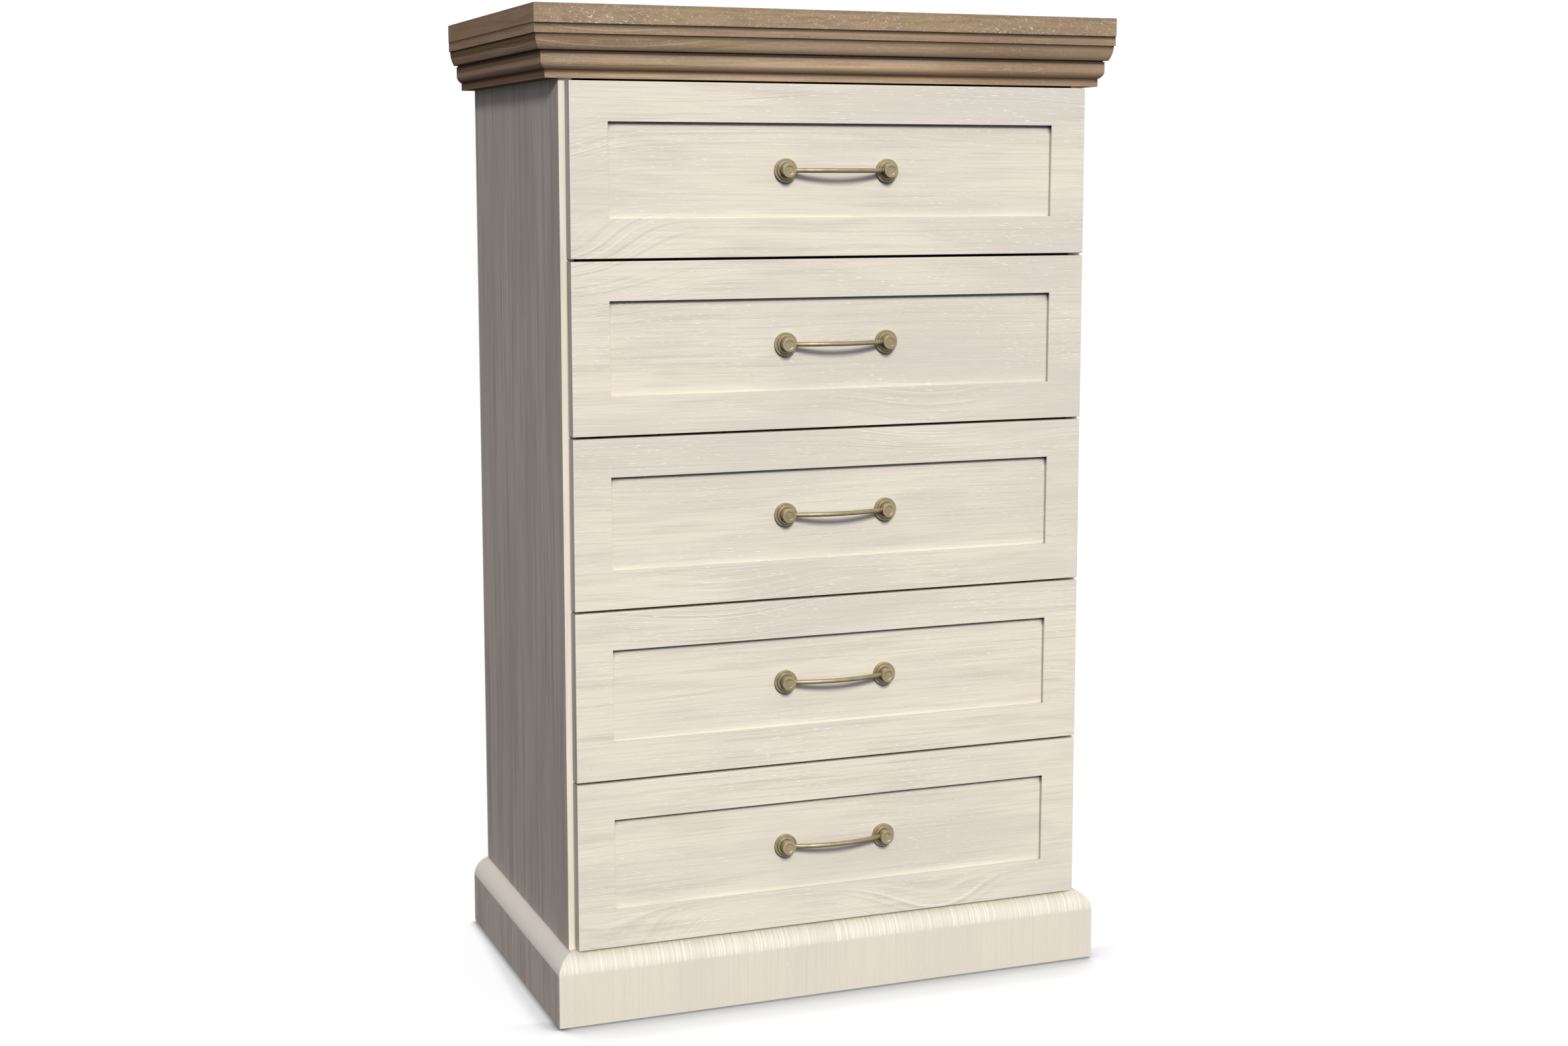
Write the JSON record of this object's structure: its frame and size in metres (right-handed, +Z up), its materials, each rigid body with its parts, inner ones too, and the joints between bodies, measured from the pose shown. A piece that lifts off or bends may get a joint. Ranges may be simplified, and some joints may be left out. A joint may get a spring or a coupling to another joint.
{
  "type": "chest of drawers",
  "caption": "Tall chest of overlay drawers on ball runners, with recessed fronts, bow pulls, a moulded cornice under the top board and a rounded plinth.",
  "frame": {"origin": "on the floor, under the middle of the whole chest with its pulls", "axes": "+X to the right seen from the front, +Y from the front to the back, +Z up"},
  "size_m": [0.728, 0.435, 1.1795],
  "materials": {
    "cream_pine_foil": "matt cream-washed pine foil",
    "oak_foil": "matt brown oak foil, embossed",
    "drawer_box_foil": "plain pale foil",
    "back_board": "painted hardboard",
    "antique_brass": "antique, satin",
    "zinc_steel": "zinc plated",
    "glide_plastic": "moulded"
  },
  "bodies": {
    "carcass": {"left_side_panel": "cream_pine_foil", "right_side_panel": "cream_pine_foil", "bottom_board": "cream_pine_foil", "sub_top": "cream_pine_foil", "back_panel": "back_board", "top_board": "oak_foil", "cornice_front": "oak_foil", "cornice_left": "oak_foil", "cornice_right": "oak_foil", "plinth_front": "cream_pine_foil", "plinth_left": "cream_pine_foil", "plinth_right": "cream_pine_foil", "cabinet_runners": "zinc_steel", "floor_glides": "glide_plastic", "carcass_fasteners": "zinc_steel"},
    "drawer_1": {"drawer_1_front": "cream_pine_foil", "drawer_1_left_side": "drawer_box_foil", "drawer_1_right_side": "drawer_box_foil", "drawer_1_back": "drawer_box_foil", "drawer_1_bottom": "drawer_box_foil", "drawer_1_pull": "antique_brass", "drawer_1_fasteners": "zinc_steel", "drawer_1_runners": "zinc_steel"},
    "ball_cages_1": {"drawer_1_ball_cages": "zinc_steel"},
    "drawer_2": {"drawer_2_front": "cream_pine_foil", "drawer_2_left_side": "drawer_box_foil", "drawer_2_right_side": "drawer_box_foil", "drawer_2_back": "drawer_box_foil", "drawer_2_bottom": "drawer_box_foil", "drawer_2_pull": "antique_brass", "drawer_2_fasteners": "zinc_steel", "drawer_2_runners": "zinc_steel"},
    "ball_cages_2": {"drawer_2_ball_cages": "zinc_steel"},
    "drawer_3": {"drawer_3_front": "cream_pine_foil", "drawer_3_left_side": "drawer_box_foil", "drawer_3_right_side": "drawer_box_foil", "drawer_3_back": "drawer_box_foil", "drawer_3_bottom": "drawer_box_foil", "drawer_3_pull": "antique_brass", "drawer_3_fasteners": "zinc_steel", "drawer_3_runners": "zinc_steel"},
    "ball_cages_3": {"drawer_3_ball_cages": "zinc_steel"},
    "drawer_4": {"drawer_4_front": "cream_pine_foil", "drawer_4_left_side": "drawer_box_foil", "drawer_4_right_side": "drawer_box_foil", "drawer_4_back": "drawer_box_foil", "drawer_4_bottom": "drawer_box_foil", "drawer_4_pull": "antique_brass", "drawer_4_fasteners": "zinc_steel", "drawer_4_runners": "zinc_steel"},
    "ball_cages_4": {"drawer_4_ball_cages": "zinc_steel"},
    "drawer_5": {"drawer_5_front": "cream_pine_foil", "drawer_5_left_side": "drawer_box_foil", "drawer_5_right_side": "drawer_box_foil", "drawer_5_back": "drawer_box_foil", "drawer_5_bottom": "drawer_box_foil", "drawer_5_pull": "antique_brass", "drawer_5_fasteners": "zinc_steel", "drawer_5_runners": "zinc_steel"},
    "ball_cages_5": {"drawer_5_ball_cages": "zinc_steel"}
  },
  "joints": [
    {"name": "drawer_1_slide", "type": "slide", "parent": "carcass", "child": "drawer_1", "axis": [0, -1, 0], "range_m": [0, 0.26]},
    {"name": "ball_cages_1_slide", "type": "slide", "parent": "carcass", "child": "ball_cages_1", "axis": [0, -1, 0], "range_m": [0, 0.13]},
    {"name": "drawer_2_slide", "type": "slide", "parent": "carcass", "child": "drawer_2", "axis": [0, -1, 0], "range_m": [0, 0.26]},
    {"name": "ball_cages_2_slide", "type": "slide", "parent": "carcass", "child": "ball_cages_2", "axis": [0, -1, 0], "range_m": [0, 0.13]},
    {"name": "drawer_3_slide", "type": "slide", "parent": "carcass", "child": "drawer_3", "axis": [0, -1, 0], "range_m": [0, 0.26]},
    {"name": "ball_cages_3_slide", "type": "slide", "parent": "carcass", "child": "ball_cages_3", "axis": [0, -1, 0], "range_m": [0, 0.13]},
    {"name": "drawer_4_slide", "type": "slide", "parent": "carcass", "child": "drawer_4", "axis": [0, -1, 0], "range_m": [0, 0.26]},
    {"name": "ball_cages_4_slide", "type": "slide", "parent": "carcass", "child": "ball_cages_4", "axis": [0, -1, 0], "range_m": [0, 0.13]},
    {"name": "drawer_5_slide", "type": "slide", "parent": "carcass", "child": "drawer_5", "axis": [0, -1, 0], "range_m": [0, 0.26]},
    {"name": "ball_cages_5_slide", "type": "slide", "parent": "carcass", "child": "ball_cages_5", "axis": [0, -1, 0], "range_m": [0, 0.13]}
  ],
  "couplings": [
    {"joint": "ball_cages_1_slide", "follows": "drawer_1_slide", "ratio": 0.5},
    {"joint": "ball_cages_2_slide", "follows": "drawer_2_slide", "ratio": 0.5},
    {"joint": "ball_cages_3_slide", "follows": "drawer_3_slide", "ratio": 0.5},
    {"joint": "ball_cages_4_slide", "follows": "drawer_4_slide", "ratio": 0.5},
    {"joint": "ball_cages_5_slide", "follows": "drawer_5_slide", "ratio": 0.5}
  ]
}
